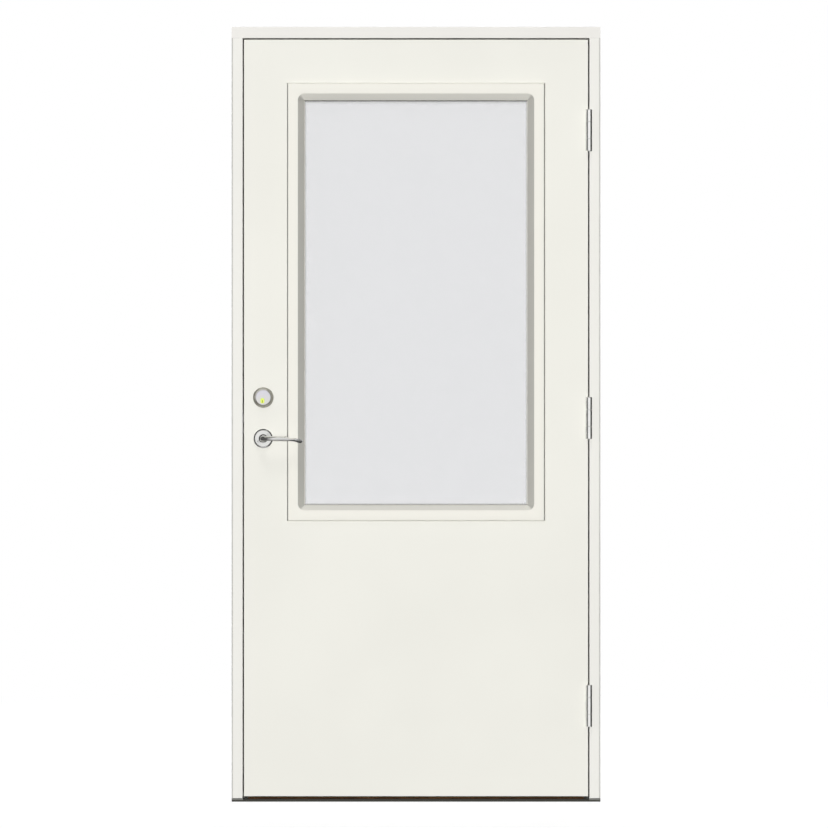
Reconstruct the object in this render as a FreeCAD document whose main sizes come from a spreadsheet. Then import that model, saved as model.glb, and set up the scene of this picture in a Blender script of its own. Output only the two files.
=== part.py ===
import FreeCAD, Part
import math
import os
import re

import Sketcher
from FreeCAD import Vector

# An outward-opening exterior door in its frame, with a glazed panel in the upper half.
# Millimetres. X runs to the right as seen from outside, +Y points indoors and +Z up.
# The origin is the middle of the sill's underside.

SIZES = [
    # The frame and the sill
    ("frame_width", 990),
    ("frame_height", 2080),
    ("frame_depth", 105),
    ("jamb_face", 30),
    ("jamb_thickness", 42),
    ("head_face", 30),
    ("head_thickness", 42),
    ("frame_rounding", 3),
    ("rebate_rounding", 1),
    ("sill_plate_thickness", 4.2),
    ("sill_nose_level", 7),
    ("sill_nose_width", 3),
    ("sill_board_level", 25),
    ("sill_board_rounding", 4),
    ("foot_pad_thickness", 5.5),
    ("anchor_hole_radius", 4),
    ("anchor_low", 110),
    ("anchor_high_drop", 380),
    # The leaf
    ("leaf_thickness", 55),
    ("side_gap", 3),
    ("top_gap", 4),
    ("leaf_bottom", 14),
    ("leaf_rounding", 1),
    ("skin_thickness", 4),
    ("middle_rail_height", 100),
    ("bottom_rail_height", 100),
    ("drip_seal_height", 5),
    ("drip_seal_width", 12),
    # The seals between leaf and frame
    ("seal_gap", 5.5),
    ("sill_seal_height", 8),
    ("seal_clearance", 0.3),
    ("seal_rounding", 2.5),
    # The glazing
    ("pane_height", 1084),
    ("bevel_width", 17),
    ("bevel_inner_radius", 0.5),
    ("surround_flat", 25),
    ("surround_slant", 3),
    ("surround_rise", 8),
    ("surround_side_margin", 117),
    ("surround_top_margin", 117),
    ("surround_clearance", 2),
    ("surround_wall", 4),
    ("unit_thickness", 24),
    ("unit_clearance", 3),
    ("glass_thickness", 4),
    ("spacer_width", 12),
    # The hinges
    ("hinge_height", 112),
    ("hinge_end_distance", 244),
    ("middle_knuckle_height", 45),
    ("knuckle_gap", 0.4),
    ("knuckle_chamfer", 0.8),
    ("barrel_radius", 8.5),
    ("barrel_standoff", 9.5),
    ("pin_radius", 4),
    ("pin_clearance", 0.05),
    ("hinge_plate_thickness", 2.5),
    ("hinge_plate_reach", 33),
    ("hinge_plate_rounding", 8),
    # The lock
    ("backset", 52),
    ("lever_level", 975),
    ("cylinder_rise", 110),
    ("forend_width", 22),
    ("forend_height", 240),
    ("forend_thickness", 3),
    ("forend_rise", 40),
    ("forend_rounding", 8),
    ("case_height", 170),
    ("case_thickness", 16),
    ("case_depth", 85),
    ("latch_rise", 20.5),
    ("latch_height", 13),
    ("latch_thickness", 11),
    ("bolt_rise", 56),
    ("bolt_height", 22),
    ("bolt_thickness", 12),
    ("bolt_projection", 1.5),
    ("bolt_length", 20),
    ("strike_width", 25),
    ("strike_height", 200),
    ("strike_thickness", 2),
    ("strike_rounding", 8),
    ("strike_window_margin", 2),
    ("strike_lip_margin", 3),
    ("mortise_depth", 22),
    ("mortise_clearance", 0.3),
    # The lever set
    ("lever_bore_radius", 11),
    ("rose_radius", 25.25),
    ("rose_thickness", 9),
    ("rose_rim", 3),
    ("neck_radius", 9.5),
    ("neck_clearance", 0.4),
    ("neck_inset", 2),
    ("knob_radius", 11.5),
    ("knob_half_depth", 8.5),
    ("knob_chamfer", 3),
    ("lever_projection", 47),
    ("lever_root_depth", 15),
    ("lever_root_height", 13),
    ("lever_throat_length", 13),
    ("lever_throat_depth", 13.5),
    ("lever_throat_height", 11.5),
    ("lever_swell_length", 19),
    ("lever_grip_length", 32),
    ("lever_grip_depth", 14.5),
    ("lever_grip_height", 13.2),
    ("lever_shoulder_length", 6),
    ("lever_waist_length", 15),
    ("lever_waist_depth", 13),
    ("lever_waist_height", 7.5),
    ("lever_waist_drop", 2.8),
    ("lever_bend_length", 14),
    ("lever_heel_depth", 10),
    ("lever_heel_height", 10),
    ("lever_heel_drop", 7),
    ("lever_heel_return", 4),
    ("lever_tip_length", 7),
    ("lever_tip_depth", 4),
    ("lever_tip_height", 2),
    ("lever_tip_return", 7),
    ("spindle_side", 8),
    # The cylinder and the thumb turn
    ("ring_radius", 27.5),
    ("ring_front_radius", 22),
    ("ring_thickness", 10),
    ("cylinder_radius", 19.6),
    ("cylinder_clearance", 0.3),
    ("cylinder_recess", 1),
    ("plug_width", 10.7),
    ("plug_height", 14),
    ("plug_rounding", 4.5),
    ("plug_drop", 8.6),
    ("plug_offset", 2),
    ("plug_rise", 1.2),
    ("turn_width", 9),
    ("turn_height", 34),
    ("turn_depth", 20),
    ("turn_rounding", 3),
]

doc = FreeCAD.newDocument("exterior_door")
sheet = doc.addObject("Spreadsheet::Sheet", "sizes")
for row, (alias, number) in enumerate(SIZES, start=1):
    sheet.set(f"A{row}", alias.replace("_", " "))
    sheet.set(f"B{row}", str(number))
    sheet.setAlias(f"B{row}", alias)
doc.recompute()

ALIASES = {alias for alias, number in SIZES}
PIECES = []


def bound(expression):
    """Write an expression on plain size names as one on the sheet's cells."""
    def to_cell(found):
        word = found.group()
        return "sizes." + word if word in ALIASES else word
    return re.sub(r"[a-z_]+", to_cell, str(expression))


def tie(thing, **properties):
    """Bind properties of an object, such as Length, to expressions on the sheet."""
    for name, expression in properties.items():
        thing.setExpression(name, bound(expression))


def place(thing, across=0, inward=0, up=0):
    """Bind the place of a sub-part that is drawn round its own origin."""
    for axis, expression in (("x", across), ("y", inward), ("z", up)):
        thing.setExpression("Placement.Base." + axis, bound(expression))


# Sketches. A polygon is a list of corners, a circle is (across, up, radius) and a rounded
# rectangle is (left, right, low, high, radius). Every number is an expression on the sheet.

START = 100.0


def coordinates(sketch, geometry, end, start, across, up):
    """Hold one point of a sketch at the two coordinates given by expressions."""
    for kind, number, expression in (("DistanceX", start.x, across), ("DistanceY", start.y, up)):
        if expression is None:
            continue
        index = sketch.addConstraint(Sketcher.Constraint(kind, -1, 1, geometry, end, number))
        sketch.setExpression(f"Constraints[{index}]", bound(expression))


def draw_polygon(sketch, corners):
    count = len(corners)
    angles = [2 * math.pi * (index + 0.3) / count for index in range(count)]
    starts = [Vector(START * math.cos(angle), START * math.sin(angle), 0) for angle in angles]
    first = sketch.GeometryCount
    for index in range(count):
        sketch.addGeometry(Part.LineSegment(starts[index], starts[(index + 1) % count]), False)
    for index, (across, up) in enumerate(corners):
        following = first + (index + 1) % count
        sketch.addConstraint(Sketcher.Constraint("Coincident", first + index, 2, following, 1))
        coordinates(sketch, first + index, 1, starts[index], across, up)


def draw_circle(sketch, across, up, radius):
    centre = Vector(START, START, 0)
    index = sketch.addGeometry(Part.Circle(centre, Vector(0, 0, 1), START / 2), False)
    coordinates(sketch, index, 3, centre, across, up)
    size = sketch.addConstraint(Sketcher.Constraint("Radius", index, START / 2))
    sketch.setExpression(f"Constraints[{size}]", bound(radius))


def draw_rounded(sketch, left, right, low, high, radius):
    bend = START / 10
    inside = START - bend
    first = sketch.GeometryCount
    for side in range(4):
        turn = FreeCAD.Rotation(Vector(0, 0, 1), 90 * side)
        line_start = turn.multVec(Vector(-inside, -START, 0))
        line_end = turn.multVec(Vector(inside, -START, 0))
        sketch.addGeometry(Part.LineSegment(line_start, line_end), False)
        circle = Part.Circle(turn.multVec(Vector(inside, -inside, 0)), Vector(0, 0, 1), bend)
        begin = math.radians(90 * (side - 1))
        sketch.addGeometry(Part.ArcOfCircle(circle, begin, begin + math.pi / 2), False)
    for side in range(4):
        line = first + 2 * side
        following = first + (2 * side + 2) % 8
        sketch.addConstraint(Sketcher.Constraint("Tangent", line, 2, line + 1, 1))
        sketch.addConstraint(Sketcher.Constraint("Tangent", line + 1, 2, following, 1))
        sketch.addConstraint(Sketcher.Constraint(("Horizontal", "Vertical")[side % 2], line))
        if side:
            sketch.addConstraint(Sketcher.Constraint("Equal", first + 1, line + 1))
    size = sketch.addConstraint(Sketcher.Constraint("Radius", first + 1, bend))
    sketch.setExpression(f"Constraints[{size}]", bound(radius))
    coordinates(sketch, first, 1, Vector(-inside, -START, 0), None, low)
    coordinates(sketch, first + 2, 1, Vector(START, -inside, 0), right, None)
    coordinates(sketch, first + 4, 1, Vector(inside, START, 0), None, high)
    coordinates(sketch, first + 6, 1, Vector(-START, inside, 0), left, None)


def rectangle(left, right, low, high):
    """The four corners of a rectangle."""
    return [(left, low), (right, low), (right, high), (left, high)]


def new_sketch(body, plane, level, loops):
    """Draw closed loops on one of the body's own origin planes, moved to a level on its axis."""
    sketch = body.newObject("Sketcher::SketchObject", body.Name + "_sketch")
    support = [item for item in body.Origin.OriginFeatures if item.Role == plane + "_Plane"]
    sketch.AttachmentSupport = (support[0], [""])
    sketch.MapMode = "FlatFace"
    along_normal = f"-({level})" if plane == "XZ" else level
    sketch.setExpression("AttachmentOffset.Base.z", bound(along_normal))
    for loop in loops:
        if isinstance(loop, list):
            draw_polygon(sketch, loop)
        elif len(loop) == 3:
            draw_circle(sketch, *loop)
        else:
            draw_rounded(sketch, *loop)
    return sketch


# Bodies. Low and high are the levels between which a loop is padded or pocketed, on the
# axis that the sketch plane leaves out.

def new_body(label):
    body = doc.addObject("PartDesign::Body", label)
    body.Label = label
    PIECES.append(body)
    return body


def pad(body, plane, low, high, loops, taper=0):
    """Add material between two levels."""
    base = high if plane == "XZ" else low
    sketch = new_sketch(body, plane, base, loops)
    feature = body.newObject("PartDesign::Pad", body.Name + "_pad")
    feature.Profile = sketch
    tie(feature, Length=f"{high} - ({low})", TaperAngle=taper)
    doc.recompute()
    return feature


def pocket(body, plane, low, high, loops, taper=0):
    """Remove material between two levels, and make sure that some was removed."""
    before = body.Shape.Volume
    base = low if plane == "XZ" else high
    sketch = new_sketch(body, plane, base, loops)
    feature = body.newObject("PartDesign::Pocket", body.Name + "_pocket")
    feature.Profile = sketch
    tie(feature, Length=f"{high} - ({low})", TaperAngle=taper)
    doc.recompute()
    if body.Shape.Volume >= before:
        raise RuntimeError(body.Label + ": a pocket removed nothing")
    return feature


def turned(body, corners, axis="Y"):
    """Turn a half profile of (radius, level) corners about the body's own Y or Z axis."""
    sketch = new_sketch(body, {"Y": "XY", "Z": "XZ"}[axis], 0, [corners])
    feature = body.newObject("PartDesign::Revolution", body.Name + "_turned")
    feature.Profile = sketch
    line = [item for item in body.Origin.OriginFeatures if item.Role == axis + "_Axis"]
    feature.ReferenceAxis = (line[0], [""])
    feature.Angle = 360
    doc.recompute()
    return feature


def soften(body, kind, size, wanted):
    """Fillet or chamfer the edges of the body that a test picks out."""
    base = body.Tip
    names = [f"Edge{number}" for number, edge in enumerate(base.Shape.Edges, start=1) if wanted(edge)]
    if not names:
        raise RuntimeError(body.Label + ": no edge to soften")
    feature = body.newObject("PartDesign::" + kind, body.Name + "_" + kind.lower())
    feature.Base = (base, names)
    tie(feature, **{"Radius" if kind == "Fillet" else "Size": size})
    doc.recompute()
    return feature


def runs_along(edge, axis):
    """Whether a straight edge lies along X, Y or Z."""
    if not isinstance(edge.Curve, Part.Line):
        return False
    return abs(getattr(edge.tangentAt(edge.FirstParameter), axis)) > 0.999


def upright_at(across, inward):
    """A test for the upright edge of a body that stands at one place."""
    def stands_there(edge):
        point = edge.Vertexes[0].Point
        return runs_along(edge, "z") and math.hypot(point.x - across, point.y - inward) < 0.1
    return stands_there


def level_at(inward, up):
    """A test for the edge of a body that runs along X at one place."""
    def runs_there(edge):
        point = edge.Vertexes[0].Point
        return runs_along(edge, "x") and math.hypot(point.y - inward, point.z - up) < 0.1
    return runs_there


def slab(label, plane, low, high, loops):
    """A sub-part that is one padded profile."""
    body = new_body(label)
    pad(body, plane, low, high, loops)
    return body


def mirrored(source, label, level):
    """The same sub-part on the leaf's other side, mirrored at a level on Y."""
    mirror = doc.addObject("Part::Mirroring", label)
    mirror.Label = label
    mirror.Source = source
    mirror.Normal = Vector(0, 1, 0)
    tie(mirror, **{"Base.y": level})
    doc.recompute()
    PIECES.append(mirror)
    return mirror


# Places that several pieces share

EDGE_X = "(frame_width / 2)"
REBATE_X = "(frame_width / 2 - jamb_face)"
STOP_X = "(frame_width / 2 - jamb_thickness)"
LEAF_X = "(frame_width / 2 - jamb_face - side_gap)"
OUTSIDE = "(-frame_depth / 2)"
INSIDE = "(frame_depth / 2)"
LEAF_BACK = "(leaf_thickness - frame_depth / 2)"
LEAF_MIDDLE = "(leaf_thickness / 2 - frame_depth / 2)"
STOP_Y = "(leaf_thickness - frame_depth / 2 + seal_gap)"
CORE_FRONT = "(skin_thickness - frame_depth / 2)"
CORE_BACK = "(leaf_thickness - frame_depth / 2 - skin_thickness)"
FOOT = "(sill_plate_thickness + foot_pad_thickness)"
HEAD_UNDERSIDE = "(frame_height - head_face)"
HEAD_STOP = "(frame_height - head_thickness)"
LEAF_TOP = "(frame_height - head_face - top_gap)"

HINGE_AXIS_X = "(frame_width / 2 - jamb_face - side_gap / 2)"
HINGE_AXIS_Y = "(-frame_depth / 2 - barrel_standoff)"
HINGE_LOW = "(leaf_bottom + hinge_end_distance)"
HINGE_HIGH = "(frame_height - head_face - top_gap - hinge_end_distance)"
HINGE_LEVELS = {
    "low": HINGE_LOW,
    "middle": f"(({HINGE_LOW} + {HINGE_HIGH}) / 2)",
    "high": HINGE_HIGH,
}

LEVER_X = f"(backset - {LEAF_X})"
CYLINDER_LEVEL = "(lever_level + cylinder_rise)"
FOREND_LEVEL = "(lever_level + forend_rise)"
LATCH_LEVEL = "(lever_level + latch_rise)"
BOLT_LEVEL = "(lever_level + bolt_rise)"

SURROUND_OUT = "(bevel_width + surround_flat + surround_slant)"
PANE_MIDDLE = f"({LEAF_TOP} - surround_top_margin - {SURROUND_OUT} - pane_height / 2)"
CUTOUT_MARGIN = "(bevel_width + surround_wall + surround_clearance)"


def pane_rectangle(margin):
    """The rectangle that stands a margin outside the visible pane."""
    half_width = f"({LEAF_X} - surround_side_margin - {SURROUND_OUT} + {margin})"
    half_height = f"(pane_height / 2 + {margin})"
    return f"-{half_width}", half_width, f"{PANE_MIDDLE} - {half_height}", f"{PANE_MIDDLE} + {half_height}"


def hinge_mortise(wall, depth_sign):
    """The recesses for the three hinge plates in one face, as (low x, high x, loops)."""
    front = OUTSIDE
    back = f"({OUTSIDE} + hinge_plate_reach + mortise_clearance)"
    reach = "(hinge_height / 2 + mortise_clearance)"
    loops = [rectangle(front, back, f"{level} - {reach}", f"{level} + {reach}")
             for level in HINGE_LEVELS.values()]
    if depth_sign > 0:
        return wall, f"({wall} + hinge_plate_thickness)", loops
    return f"({wall} - hinge_plate_thickness)", wall, loops


# The frame. Two painted timber jambs with a rebate, and a head that lies on top of them.

def jamb_outline(side):
    """The plan of a jamb, with its stop, on the left (-1) or the right (1)."""
    return [
        (f"{side} * {REBATE_X}", OUTSIDE),
        (f"{side} * {EDGE_X}", OUTSIDE),
        (f"{side} * {EDGE_X}", INSIDE),
        (f"{side} * {STOP_X}", INSIDE),
        (f"{side} * {STOP_X}", STOP_Y),
        (f"{side} * {REBATE_X}", STOP_Y),
    ]


ANCHOR_COUNT = 4


def jamb(label, side):
    body = slab(label, "XY", FOOT, HEAD_UNDERSIDE, [jamb_outline(side)])
    half_width = sheet.get("frame_width") / 2
    half_depth = sheet.get("frame_depth") / 2
    rebate = half_width - sheet.get("jamb_face")
    stop = half_width - sheet.get("jamb_thickness")
    for size, across, inward in (("frame_rounding", half_width, -half_depth),
                                 ("frame_rounding", stop, half_depth),
                                 ("rebate_rounding", rebate, -half_depth)):
        soften(body, "Fillet", size, upright_at(side * across, inward))
    anchor_span = f"(frame_height - anchor_high_drop - anchor_low) / {ANCHOR_COUNT - 1}"
    holes = [(LEAF_MIDDLE, f"anchor_low + {step} * {anchor_span}", "anchor_hole_radius")
             for step in range(ANCHOR_COUNT)]
    low, high = (REBATE_X, EDGE_X) if side > 0 else (f"-{EDGE_X}", f"-{REBATE_X}")
    pocket(body, "YZ", low, high, holes)
    return body


jamb_lock_side = jamb("jamb_lock_side", -1)
jamb_hinge_side = jamb("jamb_hinge_side", 1)
pocket(jamb_hinge_side, "YZ", *hinge_mortise(REBATE_X, 1))

head = slab("head", "XZ", OUTSIDE, INSIDE, [rectangle(f"-{EDGE_X}", EDGE_X, HEAD_UNDERSIDE, "frame_height")])
pad(head, "XZ", STOP_Y, INSIDE, [rectangle(f"-{STOP_X}", STOP_X, HEAD_STOP, HEAD_UNDERSIDE)])
head_stop_level = sheet.get("frame_height") - sheet.get("head_thickness")
soften(head, "Fillet", "frame_rounding", level_at(sheet.get("frame_depth") / 2, head_stop_level))


# The sill. A dark metal plate with a low nose, a hardwood board behind it as the leaf's
# lower stop, and a pad under each jamb.

sill_plate = slab("sill_plate", "YZ", f"-{EDGE_X}", EDGE_X,
                  [rectangle(OUTSIDE, INSIDE, 0, "sill_plate_thickness")])
pad(sill_plate, "YZ", f"-{REBATE_X}", REBATE_X,
    [rectangle(OUTSIDE, f"{OUTSIDE} + sill_nose_width", "sill_plate_thickness", "sill_nose_level")])

sill_board = slab("sill_board", "YZ", f"-{STOP_X}", STOP_X,
                  [rectangle(STOP_Y, INSIDE, "sill_plate_thickness", "sill_board_level")])
soften(sill_board, "Fillet", "sill_board_rounding",
       level_at(sheet.get("frame_depth") / 2, sheet.get("sill_board_level")))

for name, side in (("lock", -1), ("hinge", 1)):
    slab(f"foot_pad_{name}_side", "XY", "sill_plate_thickness", FOOT, [jamb_outline(side)])


# The seals. Soft strips in the corners of the rebates, which the closed leaf nearly touches.

def seal(label, plane, low, high, loop, lengthwise):
    body = slab(label, plane, low, high, [loop])
    leaf_side = sheet.get("leaf_thickness") - sheet.get("frame_depth") / 2 + sheet.get("seal_clearance")

    def front_edge(edge):
        return runs_along(edge, lengthwise) and abs(edge.Vertexes[0].Point.y - leaf_side) < 0.1

    soften(body, "Fillet", "seal_rounding", front_edge)
    return body


SEAL_FRONT = f"({LEAF_BACK} + seal_clearance)"
seal("seal_hinge_side", "XY", "sill_board_level", HEAD_UNDERSIDE,
     rectangle(STOP_X, REBATE_X, SEAL_FRONT, STOP_Y), "z")
seal("seal_lock_side", "XY", "sill_board_level", HEAD_UNDERSIDE,
     rectangle(f"-{REBATE_X}", f"-{STOP_X}", SEAL_FRONT, STOP_Y), "z")
seal("seal_head", "YZ", f"-{STOP_X}", STOP_X, rectangle(SEAL_FRONT, STOP_Y, HEAD_STOP, HEAD_UNDERSIDE), "x")
seal("seal_sill", "YZ", f"-{STOP_X}", STOP_X,
     rectangle(SEAL_FRONT, STOP_Y, "sill_board_level - sill_seal_height", "sill_board_level"), "x")


# The leaf. Two thin skins on a timber frame of stiles and rails, with a filled lower panel.

LEVER_HOLE = (LEVER_X, "lever_level", "lever_bore_radius")
CYLINDER_HOLE = (LEVER_X, CYLINDER_LEVEL, "cylinder_radius + cylinder_clearance")


def skin(label, low, high):
    outline = rectangle(f"-{LEAF_X}", LEAF_X, "leaf_bottom", LEAF_TOP)
    cutout = rectangle(*pane_rectangle(CUTOUT_MARGIN))
    return slab(label, "XZ", low, high, [outline, cutout, LEVER_HOLE, CYLINDER_HOLE])


outer_skin = skin("leaf_outer_skin", OUTSIDE, CORE_FRONT)
outer_face = -sheet.get("frame_depth") / 2
outline = outer_skin.Shape.BoundBox


def on_leaf_outline(edge):
    """A test for the long edges of the leaf's outline on its outside face."""
    point = edge.CenterOfMass
    at_side = min(abs(point.x - outline.XMin), abs(point.x - outline.XMax)) < 0.1
    at_end = min(abs(point.z - outline.ZMin), abs(point.z - outline.ZMax)) < 0.1
    return abs(point.y - outer_face) < 0.1 and (at_side or at_end)


soften(outer_skin, "Fillet", "leaf_rounding", on_leaf_outline)
pocket(outer_skin, "YZ", *hinge_mortise(LEAF_X, -1))
skin("leaf_inner_skin", CORE_BACK, LEAF_BACK)

CUT_LEFT, CUT_RIGHT, CUT_LOW, CUT_HIGH = pane_rectangle(CUTOUT_MARGIN)
lock_stile = slab("leaf_lock_stile", "XZ", CORE_FRONT, CORE_BACK,
                  [rectangle(f"-{LEAF_X}", CUT_LEFT, "leaf_bottom", LEAF_TOP), LEVER_HOLE, CYLINDER_HOLE])
hinge_stile = slab("leaf_hinge_stile", "XZ", CORE_FRONT, CORE_BACK,
                   [rectangle(CUT_RIGHT, LEAF_X, "leaf_bottom", LEAF_TOP)])
pocket(hinge_stile, "YZ", *hinge_mortise(LEAF_X, -1))

MIDDLE_RAIL_LOW = f"({CUT_LOW} - middle_rail_height)"
BOTTOM_RAIL_TOP = "(leaf_bottom + bottom_rail_height)"
for name, low, high in (("top_rail", CUT_HIGH, LEAF_TOP),
                        ("middle_rail", MIDDLE_RAIL_LOW, CUT_LOW),
                        ("core", BOTTOM_RAIL_TOP, MIDDLE_RAIL_LOW),
                        ("bottom_rail", "leaf_bottom", BOTTOM_RAIL_TOP)):
    slab("leaf_" + name, "XZ", CORE_FRONT, CORE_BACK, [rectangle(CUT_LEFT, CUT_RIGHT, low, high)])

slab("leaf_drip_seal", "YZ", f"-{LEAF_X}", LEAF_X,
     [rectangle(f"{LEAF_MIDDLE} - drip_seal_width / 2", f"{LEAF_MIDDLE} + drip_seal_width / 2",
                "leaf_bottom - drip_seal_height", "leaf_bottom")])


# The glazing. Two panes on a spacer, held between a raised surround on each face. A
# surround has a slanted outer edge, a flat, and a routed bevel down to the pane.

UNIT_FRONT = f"({LEAF_MIDDLE} - unit_thickness / 2)"
UNIT_BACK = f"({LEAF_MIDDLE} + unit_thickness / 2)"
UNIT_MARGIN = f"({CUTOUT_MARGIN} - unit_clearance)"

surround = new_body("glass_surround_outside")
slant_angle = "atan(surround_slant / surround_rise)"
pad(surround, "XZ", f"{OUTSIDE} - surround_rise", OUTSIDE, [rectangle(*pane_rectangle(SURROUND_OUT))],
    f"-{slant_angle}")
pad(surround, "XZ", OUTSIDE, UNIT_FRONT, [rectangle(*pane_rectangle("(bevel_width + surround_wall)"))])
BEVEL_DEPTH = f"({UNIT_FRONT} - {OUTSIDE} + surround_rise)"
pocket(surround, "XZ", f"{OUTSIDE} - surround_rise", UNIT_FRONT,
       [(*pane_rectangle("bevel_width"), "bevel_width + bevel_inner_radius")],
       f"-atan(bevel_width / {BEVEL_DEPTH})")
mirrored(surround, "glass_surround_inside", LEAF_MIDDLE)

for name, low, high in (("outer", UNIT_FRONT, f"{UNIT_FRONT} + glass_thickness"),
                        ("inner", f"{UNIT_BACK} - glass_thickness", UNIT_BACK)):
    slab(f"glass_{name}_pane", "XZ", low, high, [rectangle(*pane_rectangle(UNIT_MARGIN))])
slab("glass_spacer", "XZ", f"{UNIT_FRONT} + glass_thickness", f"{UNIT_BACK} - glass_thickness",
     [rectangle(*pane_rectangle(UNIT_MARGIN)), rectangle(*pane_rectangle(f"({UNIT_MARGIN} - spacer_width)"))])


# The hinges. Each has three knuckles on one pin: the outer two carry the frame's plate and
# the middle one the leaf's plate, and both plates lie flush in their mortises.

PLATE_NEAR = "(side_gap / 2)"
PLATE_FAR = "(side_gap / 2 + hinge_plate_thickness)"
PLATE_FRONT = "barrel_standoff"
PLATE_BACK = "(barrel_standoff + hinge_plate_reach)"
HALF_HINGE = "(hinge_height / 2)"
HALF_KNUCKLE = "(middle_knuckle_height / 2)"
BORE = (0, 0, "pin_radius + pin_clearance")


def knuckle(body, low, high):
    """A knuckle with chamfered rims, solid until the pin's bore is cut."""
    turned(body, [
        (0, low),
        ("barrel_radius - knuckle_chamfer", low),
        ("barrel_radius", f"{low} + knuckle_chamfer"),
        ("barrel_radius", f"{high} - knuckle_chamfer"),
        ("barrel_radius - knuckle_chamfer", high),
        (0, high),
    ], "Z")


def round_plate_corners(body):
    back = sheet.get("barrel_standoff") + sheet.get("hinge_plate_reach")
    soften(body, "Fillet", "hinge_plate_rounding",
           lambda edge: runs_along(edge, "x") and abs(edge.Vertexes[0].Point.y - back) < 0.01)


def hinge(name, level):
    frame_half = new_body(f"hinge_{name}_frame_half")
    pad(frame_half, "YZ", PLATE_NEAR, PLATE_FAR,
        [rectangle(PLATE_FRONT, PLATE_BACK, f"-{HALF_HINGE}", HALF_HINGE)])
    round_plate_corners(frame_half)
    for low, high in ((f"-{HALF_HINGE}", f"(-{HALF_KNUCKLE} - knuckle_gap)"),
                      (f"({HALF_KNUCKLE} + knuckle_gap)", HALF_HINGE)):
        pad(frame_half, "YZ", PLATE_NEAR, PLATE_FAR, [rectangle(0, PLATE_FRONT, low, high)])
        knuckle(frame_half, low, high)
    pocket(frame_half, "XY", f"-{HALF_HINGE}", HALF_HINGE, [BORE])

    leaf_half = new_body(f"hinge_{name}_leaf_half")
    pad(leaf_half, "YZ", f"-{PLATE_FAR}", f"-{PLATE_NEAR}",
        [rectangle(PLATE_FRONT, PLATE_BACK, f"-{HALF_HINGE}", HALF_HINGE)])
    round_plate_corners(leaf_half)
    pad(leaf_half, "YZ", f"-{PLATE_FAR}", f"-{PLATE_NEAR}",
        [rectangle(0, PLATE_FRONT, f"-{HALF_KNUCKLE}", HALF_KNUCKLE)])
    knuckle(leaf_half, f"-{HALF_KNUCKLE}", HALF_KNUCKLE)
    pocket(leaf_half, "XY", f"-{HALF_KNUCKLE}", HALF_KNUCKLE, [BORE])

    pin = slab(f"hinge_{name}_pin", "XY", f"-{HALF_HINGE}", HALF_HINGE, [(0, 0, "pin_radius")])
    for piece in (frame_half, leaf_half, pin):
        place(piece, HINGE_AXIS_X, HINGE_AXIS_Y, level)


for hinge_name, hinge_level in HINGE_LEVELS.items():
    hinge(hinge_name, hinge_level)


# The lock. A case with its forend in the leaf's edge, its two bolts drawn back into it, and
# the strike plate that faces them on the jamb, with a lip to the outside before each bolt.

CASE_BACK = f"(case_depth - {LEAF_X})"
FOREND_BACK = f"(forend_thickness - {LEAF_X})"
FOREND_LOOP = (f"{LEAF_MIDDLE} - forend_width / 2", f"{LEAF_MIDDLE} + forend_width / 2",
               f"{FOREND_LEVEL} - forend_height / 2", f"{FOREND_LEVEL} + forend_height / 2",
               "forend_rounding")
CASE_LOOP = rectangle(f"{LEAF_MIDDLE} - case_thickness / 2", f"{LEAF_MIDDLE} + case_thickness / 2",
                      f"{FOREND_LEVEL} - case_height / 2", f"{FOREND_LEVEL} + case_height / 2")


def bolt_loop(level, height, thickness, margin=0):
    """A bolt's section, in Y and Z, with a margin round it."""
    return rectangle(f"{LEAF_MIDDLE} - {thickness} / 2 - {margin}", f"{LEAF_MIDDLE} + {thickness} / 2 + {margin}",
                     f"{level} - {height} / 2 - {margin}", f"{level} + {height} / 2 + {margin}")


LATCH = (LATCH_LEVEL, "latch_height", "latch_thickness")
DEAD_BOLT = (BOLT_LEVEL, "bolt_height", "bolt_thickness")

lock_case = slab("lock_case", "YZ", f"-{LEAF_X}", FOREND_BACK, [FOREND_LOOP])
pad(lock_case, "YZ", FOREND_BACK, CASE_BACK, [CASE_LOOP])
pocket(lock_case, "YZ", f"-{LEAF_X}", f"bolt_length - bolt_projection - {LEAF_X}",
       [bolt_loop(*LATCH), bolt_loop(*DEAD_BOLT)])
pocket(lock_case, "XZ", OUTSIDE, LEAF_BACK, [LEVER_HOLE])
pocket(lock_stile, "YZ", f"-{LEAF_X}", FOREND_BACK, [FOREND_LOOP])
pocket(lock_stile, "YZ", FOREND_BACK, CASE_BACK, [CASE_LOOP])

for name, section in (("latch_bolt", LATCH), ("dead_bolt", DEAD_BOLT)):
    slab(name, "YZ", f"(-bolt_projection - {LEAF_X})", f"(bolt_length - bolt_projection - {LEAF_X})",
         [bolt_loop(*section)])

STRIKE_BACK = f"(-strike_thickness - {REBATE_X})"
STRIKE_LOOP = (f"{LEAF_MIDDLE} - strike_width / 2", f"{LEAF_MIDDLE} + strike_width / 2",
               f"{FOREND_LEVEL} - strike_height / 2", f"{FOREND_LEVEL} + strike_height / 2",
               "strike_rounding")
WINDOWS = [bolt_loop(*LATCH, "strike_window_margin"), bolt_loop(*DEAD_BOLT, "strike_window_margin")]
LIPS = [rectangle(OUTSIDE, f"{LEAF_MIDDLE} - strike_width / 2",
                  f"{level} - {height} / 2 - strike_lip_margin",
                  f"{level} + {height} / 2 + strike_lip_margin")
        for level, height, thickness in (LATCH, DEAD_BOLT)]
strike_plate = slab("strike_plate", "YZ", STRIKE_BACK, f"-{REBATE_X}", [STRIKE_LOOP, *WINDOWS])
pad(strike_plate, "YZ", STRIKE_BACK, f"-{REBATE_X}", LIPS)
pocket(jamb_lock_side, "YZ", STRIKE_BACK, f"-{REBATE_X}", [STRIKE_LOOP])
pocket(jamb_lock_side, "YZ", STRIKE_BACK, f"-{REBATE_X}", LIPS)
pocket(jamb_lock_side, "YZ", f"-mortise_depth - {REBATE_X}", STRIKE_BACK, WINDOWS)


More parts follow.
